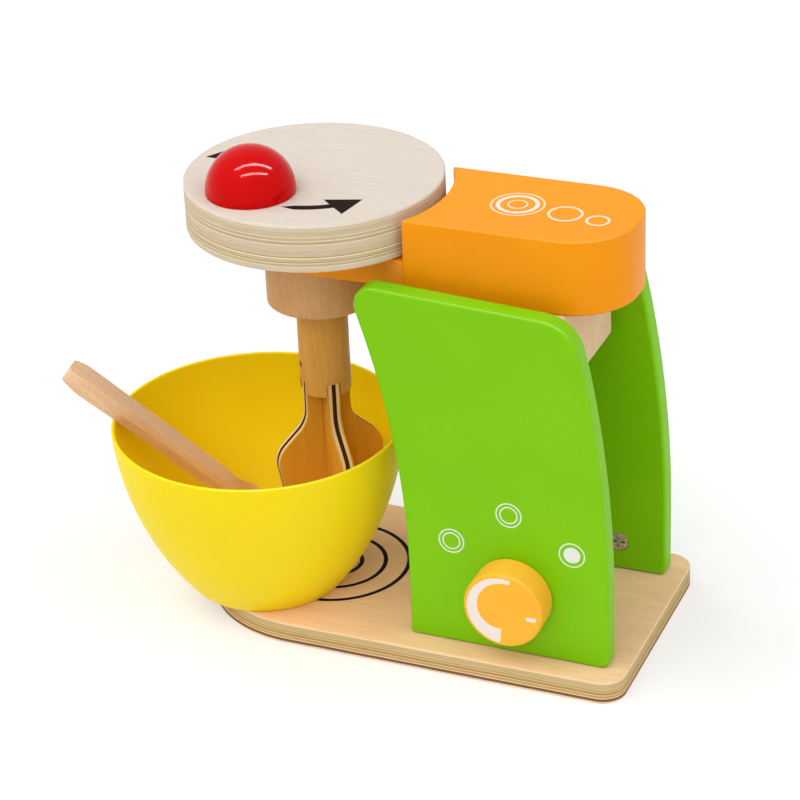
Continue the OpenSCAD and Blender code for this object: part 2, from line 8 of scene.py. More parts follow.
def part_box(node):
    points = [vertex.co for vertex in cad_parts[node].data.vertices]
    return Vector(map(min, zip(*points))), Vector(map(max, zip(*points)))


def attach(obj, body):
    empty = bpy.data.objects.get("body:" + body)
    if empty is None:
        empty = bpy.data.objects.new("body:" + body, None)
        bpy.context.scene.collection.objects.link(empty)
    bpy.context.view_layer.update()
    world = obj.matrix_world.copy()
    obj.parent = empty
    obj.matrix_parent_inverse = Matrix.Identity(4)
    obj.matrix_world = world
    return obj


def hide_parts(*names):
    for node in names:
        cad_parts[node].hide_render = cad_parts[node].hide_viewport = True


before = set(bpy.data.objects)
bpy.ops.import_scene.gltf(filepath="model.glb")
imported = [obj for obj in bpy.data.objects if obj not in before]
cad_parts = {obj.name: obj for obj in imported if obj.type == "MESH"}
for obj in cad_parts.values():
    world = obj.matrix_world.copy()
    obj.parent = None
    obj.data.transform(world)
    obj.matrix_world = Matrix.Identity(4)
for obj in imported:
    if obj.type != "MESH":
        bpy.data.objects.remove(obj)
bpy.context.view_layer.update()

# Base board
# A board of birch plywood with a round front, sanded, its edges eased, and lacquered clear.
# Three black rings printed on it mark the bowl's place under the beater.

# Points closer than SAME_POINT are one, faces within SAME_PLANE of each other are flat, and an
# edge bent by more than SHARP_EDGE is sharp.
MM = 0.001
SAME_POINT = 0.001 * MM
SAME_PLANE = math.radians(0.3)
SHARP_EDGE = math.radians(35)


def linear(code):
    """The scene colour of a #rrggbb code"""
    shares = [int(code[i:i + 2], 16) / 255 for i in (1, 3, 5)]
    return [s / 12.92 if s <= 0.04045 else ((s + 0.055) / 1.055) ** 2.4 for s in shares] + [1]


def large_sharp_edges(shape, smallest):
    """Outward sharp edges in chains of at least the smallest size, which leaves out hole rims"""
    waiting = {
        edge for edge in shape.edges
        if edge.is_manifold and edge.calc_face_angle_signed() > SHARP_EDGE
    }
    chosen = []
    while waiting:
        front = [waiting.pop()]
        chain = []
        while front:
            edge = front.pop()
            chain.append(edge)
            near = {other for vert in edge.verts for other in vert.link_edges} & waiting
            waiting -= near
            front += near
        points = [vert.co for edge in chain for vert in edge.verts]
        spans = [max(p[i] for p in points) - min(p[i] for p in points) for i in range(3)]
        if max(spans) > smallest:
            chosen += chain
    return chosen


def piece_from(shape, name):
    """A new piece from an edited shape, smooth but for its sharp edges"""
    mesh = bpy.data.meshes.new(name)
    shape.to_mesh(mesh)
    shape.free()
    if "custom_normal" in mesh.attributes:
        mesh.attributes.remove(mesh.attributes["custom_normal"])
    mesh.materials.clear()
    mesh.polygons.foreach_set("use_smooth", [True] * len(mesh.polygons))
    mesh.set_sharp_from_angle(angle=SHARP_EDGE)
    piece = bpy.data.objects.new(name, mesh)
    bpy.context.scene.collection.objects.link(piece)
    flats = piece.modifiers.new("flat faces", "WEIGHTED_NORMAL")
    flats.keep_sharp = True
    return piece


def sanded(name, node, easing, steps=3, smallest=25 * MM):
    """A copy of a cut piece with its outer edges rounded over by sanding"""
    shape = bmesh.new()
    shape.from_mesh(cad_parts[node].data)
    bmesh.ops.remove_doubles(shape, verts=shape.verts, dist=SAME_POINT)
    bmesh.ops.dissolve_limit(
        shape, angle_limit=SAME_PLANE, verts=shape.verts, edges=shape.edges
    )
    bmesh.ops.bevel(
        shape, geom=large_sharp_edges(shape, smallest), offset=easing, segments=steps,
        profile=0.5, affect="EDGES", clamp_overlap=False,
    )
    return piece_from(shape, name)


def connect(tree, node, values):
    """Links the inputs of a shader node to sockets, or sets them to values"""
    for name, value in values.items():
        if isinstance(value, bpy.types.NodeSocket):
            tree.links.new(value, node.inputs[name])
        else:
            node.inputs[name].default_value = value


def add(tree, kind, values=None, **settings):
    """A shader node with its settings made and its inputs linked or set"""
    made = tree.nodes.new("ShaderNode" + kind)
    for name, value in settings.items():
        setattr(made, name, value)
    connect(tree, made, values or {})
    return made


def calc(tree, operation, a, b=0.0, c=0.0):
    """The result of one sum on numbers or sockets"""
    return add(tree, "Math", {0: a, 1: b, 2: c}, operation=operation).outputs[0]


def ramp(tree, value, low, high, start=0.0, end=1.0):
    """A smooth step from start to end as the value goes from low to high"""
    values = {"Value": value, "From Min": low, "From Max": high, "To Min": start, "To Max": end}
    return add(tree, "MapRange", values, interpolation_type="SMOOTHSTEP").outputs["Result"]


def blend(tree, share, first, second):
    """A colour between two colours"""
    values = {"Factor": share, 6: first, 7: second}
    return add(tree, "Mix", values, data_type="RGBA").outputs[2]


def effect(name, inputs, outputs):
    """A node group for an effect that is used more than once, with its inputs and outputs"""
    group = bpy.data.node_groups.new(name, "ShaderNodeTree")
    for label, kind, value in inputs:
        socket = group.interface.new_socket(label, in_out="INPUT", socket_type="NodeSocket" + kind)
        socket.default_value = value
    for label, kind in outputs:
        group.interface.new_socket(label, in_out="OUTPUT", socket_type="NodeSocket" + kind)
    given = group.nodes.new("NodeGroupInput").outputs
    result = group.nodes.new("NodeGroupOutput").inputs
    return group, given, result


def use(tree, group, **values):
    """The outputs of an effect placed in a material"""
    placed = tree.nodes.new("ShaderNodeGroup")
    placed.node_tree = group
    connect(tree, placed, values)
    return placed.outputs


def place(tree):
    """Where a point of the piece lies, in metres in the part's own frame"""
    return add(tree, "TexCoord").outputs["Object"]


def stretched(tree, point, stretch):
    """A point with each of its axes scaled"""
    return add(tree, "VectorMath", {0: point, 1: stretch}, operation="MULTIPLY").outputs["Vector"]


def finish(name, tint, roughness, relief, depth, **constants):
    """A material whose colour, roughness and relief come from its nodes"""
    material = bpy.data.materials.new(name)
    material.use_nodes = True
    tree = material.node_tree
    shader = tree.nodes["Principled BSDF"]
    for label, value in constants.items():
        shader.inputs[label.replace("_", " ")].default_value = value
    tree.links.new(tint(tree), shader.inputs["Base Color"])
    tree.links.new(roughness(tree), shader.inputs["Roughness"])
    bump = add(tree, "Bump", {"Height": relief(tree), "Strength": 1.0, "Distance": depth})
    tree.links.new(bump.outputs["Normal"], shader.inputs["Normal"])
    return material


def fit(piece, material, body, slot, *nodes):
    """Dresses a piece, rides it on its body and lets it stand for its nodes"""
    piece.data.materials.append(material)
    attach(piece, body)
    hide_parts(*nodes)


# The grain of wood: fine long fibres, a slow figure and small dark flecks. Across and along are
# the fibres to the metre on the two ways of the grain, and pores are finer than fibres.
grain, given, result = effect(
    "wood grain",
    [("Direction", "Vector", (1, 0, 0)), ("Across", "Float", 900.0), ("Along", "Float", 45.0),
     ("Pale", "Color", (1, 1, 1, 1)), ("Deep", "Color", (1, 1, 1, 1)), ("Flecks", "Float", 0.3)],
    [("Colour", "Color"), ("Fibre", "Float")],
)
pores_across = 2.4
pores_along = 9.0
figure_size = 0.15
figure_strength = 0.6
pore_colour = "#7a5636"


def drawn_out(tree, direction, across, along):
    """A point with one count of cells to the metre along a direction and another across it"""
    point = place(tree)
    forward = add(tree, "VectorMath", {0: point, 1: direction}, operation="DOT_PRODUCT")
    pushed = calc(tree, "MULTIPLY", forward.outputs["Value"], calc(tree, "SUBTRACT", along, across))
    lengthways = add(tree, "VectorMath", {0: direction, "Scale": pushed}, operation="SCALE")
    widthways = add(tree, "VectorMath", {0: point, "Scale": across}, operation="SCALE")
    values = {0: widthways.outputs["Vector"], 1: lengthways.outputs["Vector"]}
    return add(tree, "VectorMath", values, operation="ADD").outputs["Vector"]


laid = drawn_out(grain, given["Direction"], given["Across"], given["Along"])
fibre = add(grain, "TexNoise", {"Vector": laid, "Scale": 1.0, "Detail": 4.0})
figure = add(
    grain, "TexNoise", {"Vector": laid, "Scale": figure_size, "Detail": 2.0, "Distortion": 0.5}
)
pores = drawn_out(
    grain, given["Direction"],
    calc(grain, "MULTIPLY", given["Across"], pores_across),
    calc(grain, "MULTIPLY", given["Along"], pores_along),
)
pore = add(grain, "TexNoise", {"Vector": pores, "Scale": 1.0, "Detail": 1.0})
figured = calc(
    grain, "MULTIPLY_ADD", figure.outputs["Fac"], figure_strength, -figure_strength / 2
)
share = ramp(grain, calc(grain, "ADD", fibre.outputs["Fac"], figured), 0.15, 0.85)
wood = blend(grain, share, given["Pale"], given["Deep"])
spot = calc(grain, "MULTIPLY", ramp(grain, pore.outputs["Fac"], 0.5, 0.75), given["Flecks"])
dark = blend(grain, spot, wood, linear(pore_colour))
grain.links.new(dark, result["Colour"])
grain.links.new(calc(grain, "SUBTRACT", fibre.outputs["Fac"], spot), result["Fibre"])


def wood_grain(tree, fibres, pale="#ffffff", deep="#ffffff", flecks=0.0):
    """The grain on wood whose fibres are given as (direction, across, along)"""
    direction, across, along = fibres
    return use(tree, grain, Direction=direction, Across=across, Along=along,
               Pale=linear(pale), Deep=linear(deep), Flecks=flecks)


# The layers of plywood, seen on its edges. Position runs from 0 to 1 through the board, and
# streak is the broken tone along each layer. The layers swell and thin a little on their way.
layers, given, result = effect(
    "plywood layers",
    [("Normal", "Vector", (0, 0, 1)), ("Start", "Float", 0.0), ("Thickness", "Float", 0.01)],
    [("Position", "Float"), ("Streak", "Float")],
)
swell_height = 0.36 * MM
swells = 35.0
streaks_along = 130
streaks_through = 2600
point = place(layers)
depth = add(layers, "VectorMath", {0: point, 1: given["Normal"]}, operation="DOT_PRODUCT")
wave = add(layers, "TexNoise", {"Vector": point, "Scale": swells, "Detail": 1.0})
swell = calc(layers, "MULTIPLY_ADD", wave.outputs["Fac"], swell_height, -swell_height / 2)
from_start = calc(layers, "SUBTRACT", depth.outputs["Value"], given["Start"])
across = calc(layers, "ADD", from_start, swell)
layers.links.new(calc(layers, "DIVIDE", across, given["Thickness"]), result["Position"])
flat = stretched(layers, point, (streaks_along, streaks_along, streaks_along))
through = calc(layers, "MULTIPLY", across, streaks_through)
level = add(layers, "VectorMath", {0: given["Normal"], "Scale": through}, operation="SCALE")
lines = add(layers, "VectorMath", {0: flat, 1: level.outputs["Vector"]}, operation="ADD")
streak = add(layers, "TexNoise", {"Vector": lines.outputs["Vector"], "Scale": 1.0, "Detail": 3.0})
layers.links.new(streak.outputs["Fac"], result["Streak"])


def inked(tree, inside, blur=0.05 * MM):
    """Ink from the distance inside its edge, which is a little blurred"""
    return ramp(tree, inside, -blur, blur)


# One printed ring of ink. The point and the centre lie in the plane of the print.
ink_ring, given, result = effect(
    "printed ring",
    [("Point", "Vector", (0, 0, 0)), ("Centre", "Vector", (0, 0, 0)),
     ("Radius", "Float", 0.01), ("Line", "Float", 0.001)],
    [("Ink", "Float")],
)
away = add(ink_ring, "VectorMath", {0: given["Point"], 1: given["Centre"]}, operation="DISTANCE")
off = calc(ink_ring, "ABSOLUTE", calc(ink_ring, "SUBTRACT", away.outputs["Value"], given["Radius"]))
half = calc(ink_ring, "MULTIPLY", given["Line"], 0.5)
in_line = calc(ink_ring, "SUBTRACT", half, off)
ink_ring.links.new(inked(ink_ring, in_line, blur=0.06 * MM), result["Ink"])


def printed_rings(tree, plane, rings):
    """Ink of rings given as (x, y, z, radius, line) in millimetres, on a plane through 0"""
    point = stretched(tree, place(tree), plane)
    ink = 0.0
    for x, y, z, radius, line in rings:
        centre = Vector((x, y, z)) * MM
        ring = use(tree, ink_ring, Point=point, Centre=centre, Radius=radius * MM, Line=line * MM)
        ink = calc(tree, "MAXIMUM", ink, ring["Ink"])
    return ink


print_depth = 0.3 * MM


def on_face(tree, axis, level, side):
    """1 at the outer face that a piece has at a level on one axis, so that ink stays on it"""
    axes = add(tree, "SeparateXYZ", {"Vector": place(tree)})
    outward = calc(tree, "MULTIPLY", axes.outputs[axis], side)
    return calc(tree, "GREATER_THAN", outward, side * level - print_depth)


def edge_tones(tree, position, plies):
    """The colour of each layer, given from the bottom up as (share of thickness, colour)"""
    tones = add(tree, "ValToRGB", {"Fac": position})
    band = tones.color_ramp
    band.interpolation = "CONSTANT"
    total = sum(share for share, _ in plies)
    reached = 0.0
    for index, (share, code) in enumerate(plies):
        if index < 2:
            stop = band.elements[index]
            stop.position = reached / total
        else:
            stop = band.elements.new(reached / total)
        stop.color = linear(code)
        reached += share
    return tones.outputs["Color"]


def plywood(name, normal, start, thickness, plies, face, fibres, streaks,
            marks=None, mark_tint=None):
    """Clear-lacquered birch plywood: grain on the outer layers, streaked layers on its edges"""
    veneer = 0.6 * MM / thickness

    def tint(tree):
        wood = wood_grain(tree, fibres, *face, flecks=0.12)
        layer = use(tree, layers, Normal=normal, Start=start, Thickness=thickness)
        tones = edge_tones(tree, layer["Position"], plies)
        broken = ramp(tree, layer["Streak"], 0.5, 0.75, end=streaks)
        streaked = blend(tree, broken, tones, linear("#8a6a45"))
        centred = calc(tree, "ABSOLUTE", calc(tree, "SUBTRACT", layer["Position"], 0.5))
        inside = calc(tree, "LESS_THAN", centred, 0.5 - veneer)
        board = blend(tree, inside, wood["Colour"], streaked)
        if marks is None:
            return board
        return blend(tree, marks(tree), board, linear(mark_tint))

    def roughness(tree):
        return ramp(tree, wood_grain(tree, fibres)["Fibre"], 0.2, 0.8, start=0.42, end=0.56)

    def relief(tree):
        layer = use(tree, layers, Normal=normal, Start=start, Thickness=thickness)
        streak = calc(tree, "MULTIPLY", layer["Streak"], 0.8)
        return calc(tree, "ADD", wood_grain(tree, fibres)["Fibre"], streak)

    return finish(name, tint, roughness, relief, depth=0.04 * MM, Specular_IOR_Level=0.02)


base_low, base_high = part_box("base_board")
base_plies = [
    (1.1, "#f3e0bf"), (1.4, "#8a5a3a"), (0.5, "#eed6ae"), (1.2, "#c9a56c"), (0.35, "#ecd3a6"),
    (1.3, "#bb965c"), (0.35, "#ead0a2"), (0.9, "#c2a368"), (0.3, "#e6cc9b"), (2.6, "#cdb484"),
    (0.9, "#ecd7b0"),
]
ring_line = 2.1
base_rings = [(0, 0, 0, radius, ring_line) for radius in (12.5, 23.8, 35)]


def base_marks(tree):
    """The three rings on the board's top"""
    rings = printed_rings(tree, (1, 1, 0), base_rings)
    return calc(tree, "MULTIPLY", rings, on_face(tree, "Z", base_high.z, 1))


board = sanded("base_board_sanded", "base_board", easing=0.9 * MM)
board_finish = plywood(
    "base plywood", normal=(0, 0, 1), start=base_low.z, thickness=base_high.z - base_low.z,
    plies=base_plies, face=("#fad2a8", "#efc397"), fibres=((1, 0, 0), 1000, 60), streaks=0.3,
    marks=base_marks, mark_tint="#0a0605",
)
fit(board, board_finish, "base", "plywood", "base_board")

# Panel bolts and barrel nuts
# Four steel bolts go up through the board into cross-slotted barrel nuts in the panels. They
# are turned or pressed from steel rod and zinc plated.

# The cloudy tone of zinc plating. Its cloud alone also varies other smooth surfaces.
blotch, given, result = effect(
    "zinc plating",
    [("Scale", "Float", 600.0)],
    [("Colour", "Color"), ("Cloud", "Float")],
)
cloud = add(blotch, "TexNoise", {"Vector": place(blotch), "Scale": given["Scale"], "Detail": 3.0})
clouded = ramp(blotch, cloud.outputs["Fac"], 0.35, 0.65)
zinc = blend(blotch, clouded, linear("#aaa9a4"), linear("#d2d3d2"))
blotch.links.new(zinc, result["Colour"])
blotch.links.new(cloud.outputs["Fac"], result["Cloud"])

steel = finish(
    "zinc plated steel",
    tint=lambda tree: use(tree, blotch)["Colour"],
    roughness=lambda tree: ramp(
        tree, use(tree, blotch)["Cloud"], 0.3, 0.7, start=0.28, end=0.46
    ),
    relief=lambda tree: use(tree, blotch, Scale=2500.0)["Cloud"],
    depth=0.01 * MM,
    Metallic=1.0,
)


def refinish(material, *nodes):
    """Gives pieces that keep their cut shape a finer finish"""
    for node in nodes:
        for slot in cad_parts[node].material_slots:
            slot.material = material


refinish(steel, "panel_bolts", "barrel_nuts")

# Side panels
# Two boards of close-grained wood, cut to one outline, their edges rounded over, and sprayed
# with satin green paint. White rings are screen printed above the dial.

# The paint varies a little from thick to thin, and wood fibres show faintly in its skin.
spray, given, result = effect(
    "sprayed paint",
    [("Paint", "Color", (1, 1, 1, 1)), ("Thin", "Color", (1, 1, 1, 1))],
    [("Colour", "Color"), ("Skin", "Float"), ("Gloss", "Float")],
)
upright_fibres = (500, 500, 40)
point = place(spray)
cloud = add(spray, "TexNoise", {"Vector": point, "Scale": 26.0, "Detail": 3.0})
mist = add(spray, "TexNoise", {"Vector": point, "Scale": 1400.0, "Detail": 1.0})
peel = add(spray, "TexNoise", {"Vector": point, "Scale": 420.0, "Detail": 2.0})
below = stretched(spray, point, upright_fibres)
under = add(spray, "TexNoise", {"Vector": below, "Scale": 1.0, "Detail": 3.0})
thin = calc(
    spray, "ADD",
    ramp(spray, cloud.outputs["Fac"], 0.35, 0.7, end=0.5),
    ramp(spray, mist.outputs["Fac"], 0.35, 0.65, end=0.35),
)
spray.links.new(blend(spray, thin, given["Paint"], given["Thin"]), result["Colour"])
skin = calc(spray, "MULTIPLY_ADD", under.outputs["Fac"], 0.5, peel.outputs["Fac"])
spray.links.new(skin, result["Skin"])
spray.links.new(cloud.outputs["Fac"], result["Gloss"])


def painted(name, paint, thin, marks=None, mark_tint=None):
    """Satin paint sprayed on sanded wood, whose fibres show faintly in its skin"""
    def tint(tree):
        coat = use(tree, spray, Paint=linear(paint), Thin=linear(thin))["Colour"]
        if marks is None:
            return coat
        return blend(tree, marks(tree), coat, linear(mark_tint))

    return finish(
        name,
        tint=tint,
        roughness=lambda tree: ramp(
            tree, use(tree, spray)["Gloss"], 0.3, 0.7, start=0.36, end=0.46
        ),
        relief=lambda tree: use(tree, spray)["Skin"],
        depth=0.02 * MM,
        Specular_IOR_Level=0.12,
    )


# Three lamps are printed as rings. The first is filled by a ring of no radius, which is a dot.
near_low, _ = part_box("near_panel")
lamp_rings = [
    (135.2, 0, 66.8, 5.8, 0.6), (135.2, 0, 66.8, 0, 7.8),
    (106.1, 0, 81.5, 5.8, 0.6), (106.1, 0, 81.5, 4.0, 0.6),
    (78.8, 0, 63.5, 5.8, 0.6), (78.8, 0, 63.5, 4.0, 0.6),
]


def panel_marks(tree):
    """The lamps on the near panel's outside"""
    rings = printed_rings(tree, (1, 0, 1), lamp_rings)
    return calc(tree, "MULTIPLY", rings, on_face(tree, "Y", near_low.y, -1))


green = ("#7cc404", "#84ca0a")
plain_green = painted("green paint", *green)
marked_green = painted("green paint with print", *green, panel_marks, "#e6ebe4")
panel_easing = 1.5 * MM
near_panel = sanded("near_panel_sanded", "near_panel", panel_easing)
far_panel = sanded("far_panel_sanded", "far_panel", panel_easing)
fit(near_panel, marked_green, "base", "green_paint", "near_panel")
fit(far_panel, plain_green, "base", "green_paint", "far_panel")

# Pivot rod, spacers and stop rods
# Beech dowels glued into blind holes in both panels: one that the head tilts on, with a turned
# ring on each side of the block, one it rests on, and one that stops it.


def solid_wood(name, pale, deep, fibres, flecks=0.35):
    """Clear-lacquered solid wood"""
    return finish(
        name,
        tint=lambda tree: wood_grain(tree, fibres, pale, deep, flecks)["Colour"],
        roughness=lambda tree: ramp(
            tree, wood_grain(tree, fibres)["Fibre"], 0.2, 0.8, start=0.44, end=0.58
        ),
        relief=lambda tree: wood_grain(tree, fibres)["Fibre"],
        depth=0.04 * MM,
        Specular_IOR_Level=0.15,
    )


dowel_wood = solid_wood("beech dowel", "#e0bd92", "#cfa678", fibres=((0, 1, 0), 1100, 50))
refinish(dowel_wood, "pivot_rod", "pivot_spacers", "front_stop_rod", "rear_stop_rod")

# Pivot block
# A block of pale wood with the grain along the toy, planed, its edges eased and lacquered
# clear. It turns on the pivot rod, and two long screws fix it to the head.

block = sanded("pivot_block_sanded", "pivot_block", easing=1.2 * MM)
block_wood = solid_wood(
    "pivot block wood", "#f4d6b0", "#e6c298", fibres=((1, 0, 0), 900, 40), flecks=0.2
)
fit(block, block_wood, "head", "plain_wood", "pivot_block")
refinish(steel, "block_screws")

# Head block
# One block of wood, bandsawn hollow in front to clear the turntable, with a tongue under it.
# It is sprayed orange, and white rings are printed on its top.

_, head_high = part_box("head_block")
head_rings = [
    (95.6, 0.3, 0, 11.6, 0.7), (95.6, 0.3, 0, 8.6, 1.9), (95.6, 0.3, 0, 4.2, 0.7),
    (118.4, -3.0, 0, 7.2, 1.1), (133.8, -5.6, 0, 4.8, 1.1),
]


def head_marks(tree):
    """The rings on the head's top"""
    rings = printed_rings(tree, (1, 1, 0), head_rings)
    return calc(tree, "MULTIPLY", rings, on_face(tree, "Z", head_high.z, 1))


head = sanded("head_block_sanded", "head_block", easing=1.0 * MM)
orange = painted("orange paint", "#f69404", "#f99c08", head_marks, "#f6e3d2")
fit(head, orange, "head", "orange_paint", "head_block")

# Collar
# A ring turned from solid wood and lacquered clear. It is glued under the tongue, and the shaft
# turns in it.

collar = sanded("collar_sanded", "collar", easing=1.0 * MM)
collar_wood = solid_wood(
    "collar wood", "#d9a872", "#cf9b65", fibres=((0, 0, 1), 1200, 110), flecks=0.16
)
fit(collar, collar_wood, "head", "plain_wood", "collar")

# Washers
# Two plain washers of white nylon let the beater turn freely between the wooden parts.

nylon = finish(
    "nylon washer",
    tint=lambda tree: blend(
        tree, use(tree, blotch, Scale=900.0)["Cloud"], linear("#e9e5dc"), linear("#dcd7cb")
    ),
    roughness=lambda tree: ramp(
        tree, use(tree, blotch, Scale=900.0)["Cloud"], 0.3, 0.7, start=0.42, end=0.52
    ),
    relief=lambda tree: use(tree, blotch, Scale=2200.0)["Cloud"],
    depth=0.01 * MM,
)
refinish(nylon, "disc_washer", "thrust_washer")

# Beater shaft
# A shaft turned from solid wood. Its thin end runs up through the collar and the tongue into
# the turntable, and its lower end has a cross slot for the blades, held by a dark pin.

shaft = sanded("beater_shaft_sanded", "beater_shaft", easing=0.3 * MM, steps=2)
shaft_wood = solid_wood(
    "shaft wood", "#dba451", "#d19845", fibres=((0, 0, 1), 1000, 60), flecks=0.1
)
fit(shaft, shaft_wood, "beater", "plain_wood", "beater_shaft")
pin_wood = solid_wood("walnut pin", "#6f4c30", "#4e3320", fibres=((0, 0, 1), 1100, 60))
refinish(pin_wood, "blade_pin")

# Blades
# Two blades of thin plywood with one dark middle layer, lapped over each other to a cross and
# glued into the shaft's slots.

blade_turn = math.radians(43.5)
blade_thickness = 6.4 * MM
blade_plies = [
    (0.8, "#dab27b"), (1.2, "#ecd09a"), (0.15, "#5e3d20"), (1.6, "#3c2411"),
    (0.15, "#5e3d20"), (1.3, "#ecd09a"), (0.8, "#dab27b"),
]
for name, turn in (("blade_a", blade_turn), ("blade_b", blade_turn + math.pi / 2)):
    blade = sanded(name + "_sanded", name, easing=0.45 * MM, steps=2)
    blade_finish = plywood(
        name + " plywood", normal=(-math.sin(turn), math.cos(turn), 0),
        start=-blade_thickness / 2, thickness=blade_thickness, plies=blade_plies,
        face=("#dfa436", "#d6992e"), fibres=((0, 0, 1), 900, 50), streaks=0.3,
    )
    fit(blade, blade_finish, "beater", "plywood", name)

# Turntable
# A thick disc of birch plywood, turned and lacquered clear, glued to the shaft. Two dark arrows
# are printed on it, one on each side of the knob.

# One printed arrow round a centre. Its straight head ends at the bearing of the tip, and its
# tail follows the circle back from inside the head and thins to nothing.
arrow, given, result = effect(
    "printed arrow",
    [("Point", "Vector", (0, 0, 0)), ("Centre", "Vector", (0, 0, 0)), ("Tip", "Float", 0.0)],
    [("Ink", "Float")],
)
arrow_r = 38.8 * MM
arrow_length = 36.8 * MM
arrow_head = 14.6 * MM
arrow_head_half = 9.0 * MM
arrow_tail_half = 2.1 * MM
tail_taper = 0.35
tail_start = 0.8 * arrow_head
head_turn = arrow_head / 3 / arrow_r

offset = {0: given["Point"], 1: given["Centre"]}
from_centre = add(arrow, "VectorMath", offset, operation="SUBTRACT").outputs["Vector"]
turn_to_tip = calc(arrow, "SUBTRACT", head_turn, given["Tip"])
straightened = add(
    arrow, "VectorRotate", {"Vector": from_centre, "Angle": turn_to_tip}, rotation_type="Z_AXIS"
)
axes = add(arrow, "SeparateXYZ", {"Vector": straightened.outputs["Vector"]}).outputs

behind_tip = calc(arrow, "SUBTRACT", arrow_r * math.sin(head_turn), axes["Y"])
to_side = calc(arrow, "SUBTRACT", axes["X"], arrow_r * math.cos(head_turn))
widening = calc(arrow, "MULTIPLY", behind_tip, arrow_head_half / arrow_head)
flank = calc(arrow, "SUBTRACT", widening, calc(arrow, "ABSOLUTE", to_side))
in_head = calc(arrow, "MINIMUM", flank, calc(arrow, "SUBTRACT", arrow_head, behind_tip))

bearing = calc(arrow, "ARCTAN2", axes["Y"], axes["X"])
turned_back = calc(arrow, "WRAP", calc(arrow, "SUBTRACT", head_turn, bearing), 2 * math.pi, 0.0)
behind = calc(arrow, "MULTIPLY", turned_back, arrow_r)
reach = add(arrow, "VectorMath", {0: from_centre}, operation="LENGTH").outputs["Value"]
aside = calc(arrow, "ABSOLUTE", calc(arrow, "SUBTRACT", reach, arrow_r))
thinning = calc(arrow, "MULTIPLY", calc(arrow, "SUBTRACT", arrow_length, behind), tail_taper)
tail_half = calc(arrow, "MINIMUM", thinning, arrow_tail_half)
past_start = calc(arrow, "SUBTRACT", behind, tail_start)
in_tail = calc(arrow, "MINIMUM", calc(arrow, "SUBTRACT", tail_half, aside), past_start)
in_arrow = calc(arrow, "MAXIMUM", in_head, in_tail)
arrow.links.new(inked(arrow, in_arrow), result["Ink"])

disc_low, disc_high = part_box("turntable_disc")

# The centre of each arrow's circle in millimetres, and the bearing of its tip in degrees
arrows = [((0, 0, 0), -33.3), ((-31.1, -30.5, 0), 125.6)]


def disc_marks(tree):
    """The two arrows on the turntable's top"""
    point = stretched(tree, place(tree), (1, 1, 0))
    ink = 0.0
    for centre, tip in arrows:
        placed = use(tree, arrow, Point=point, Centre=Vector(centre) * MM, Tip=math.radians(tip))
        ink = calc(tree, "MAXIMUM", ink, placed["Ink"])
    return calc(tree, "MULTIPLY", ink, on_face(tree, "Z", disc_high.z, 1))


disc_plies = [
    (2.6, "#d6c5a6"), (0.35, "#e9dec6"), (1.3, "#c8b38f"), (0.4, "#ebe0c8"), (0.5, "#b89c68"),
    (1.4, "#ccb894"), (0.5, "#efe4ca"), (0.5, "#bd9c5e"), (2.4, "#d0bc9d"), (0.15, "#bfa684"),
    (2.6, "#d5c3a6"), (0.45, "#eadfc8"), (1.4, "#c5ad88"), (0.4, "#e9ddc4"), (1.3, "#cbb48f"),
    (0.35, "#e7dbc2"), (2.2, "#d2be9f"), (0.15, "#c2a985"), (1.9, "#d8c7aa"), (1.25, "#e9decd"),
]
disc = sanded("turntable_sanded", "turntable_disc", easing=0.9 * MM)
disc_finish = plywood(
    "turntable plywood", normal=(0, 0, 1), start=disc_low.z, thickness=disc_high.z - disc_low.z,
    plies=disc_plies, face=("#dbd2c7", "#d7ccbe"), fibres=((1, 0, 0), 1000, 60), streaks=0.22,
    marks=disc_marks, mark_tint="#22100f",
)
fit(disc, disc_finish, "beater", "plywood", "turntable_disc")

# Knob
# A half ball turned from wood and dipped in red lacquer, glued to the turntable and held by a
# screw from below.


def rounded(corners, steps=8):
    """The points of an outline of (x, y, radius), with each corner rounded by its radius"""
    points = []
    count = len(corners)
    for index, (x, y, radius) in enumerate(corners):
        here = Vector((x, y))
        if radius == 0:
            points.append(here)
            continue
        before = (Vector(corners[index - 1][:2]) - here).normalized()
        after = (Vector(corners[(index + 1) % count][:2]) - here).normalized()
        half = before.angle(after) / 2
        centre = here + (before + after).normalized() * radius / math.sin(half)
        start = here + before * radius / math.tan(half) - centre
        end = here + after * radius / math.tan(half) - centre
        turn = start.angle_signed(end)
        for step in range(steps + 1):
            spin = Matrix.Rotation(-turn * step / steps, 2)
            points.append(centre + spin @ start)
    return points


def turned(name, profile, axis_point, axis=(0, 0, 1), steps=128):
    """A piece turned on a lathe from a closed profile of (radius, height) points"""
    shape = bmesh.new()
    turns = [2 * math.pi * step / steps for step in range(steps)]
    rings = []
    for radius, height in profile:
        if radius < SAME_POINT:
            rings.append([shape.verts.new((0, 0, height))])
            continue
        rings.append([
            shape.verts.new((radius * math.cos(turn), radius * math.sin(turn), height))
            for turn in turns
        ])
    for ring, following in zip(rings, rings[1:] + rings[:1]):
        if len(ring) == 1 and len(following) == 1:
            continue
        for step in range(steps):
            ahead = (step + 1) % steps
            corners = [ring[step % len(ring)], ring[ahead % len(ring)],
                       following[ahead % len(following)], following[step % len(following)]]
            shape.faces.new(list(dict.fromkeys(corners)))
    bmesh.ops.recalc_face_normals(shape, faces=shape.faces)
    tilt = Vector((0, 0, 1)).rotation_difference(Vector(axis)).to_matrix().to_4x4()
    shape.transform(Matrix.Translation(axis_point) @ tilt)
    return piece_from(shape, name)


# Its bore for the screw is the same as the dial's.
bore_r = 2.05 * MM
bore_depth = 11 * MM
bore = [(0, bore_depth), (bore_r, bore_depth), (bore_r, 0)]

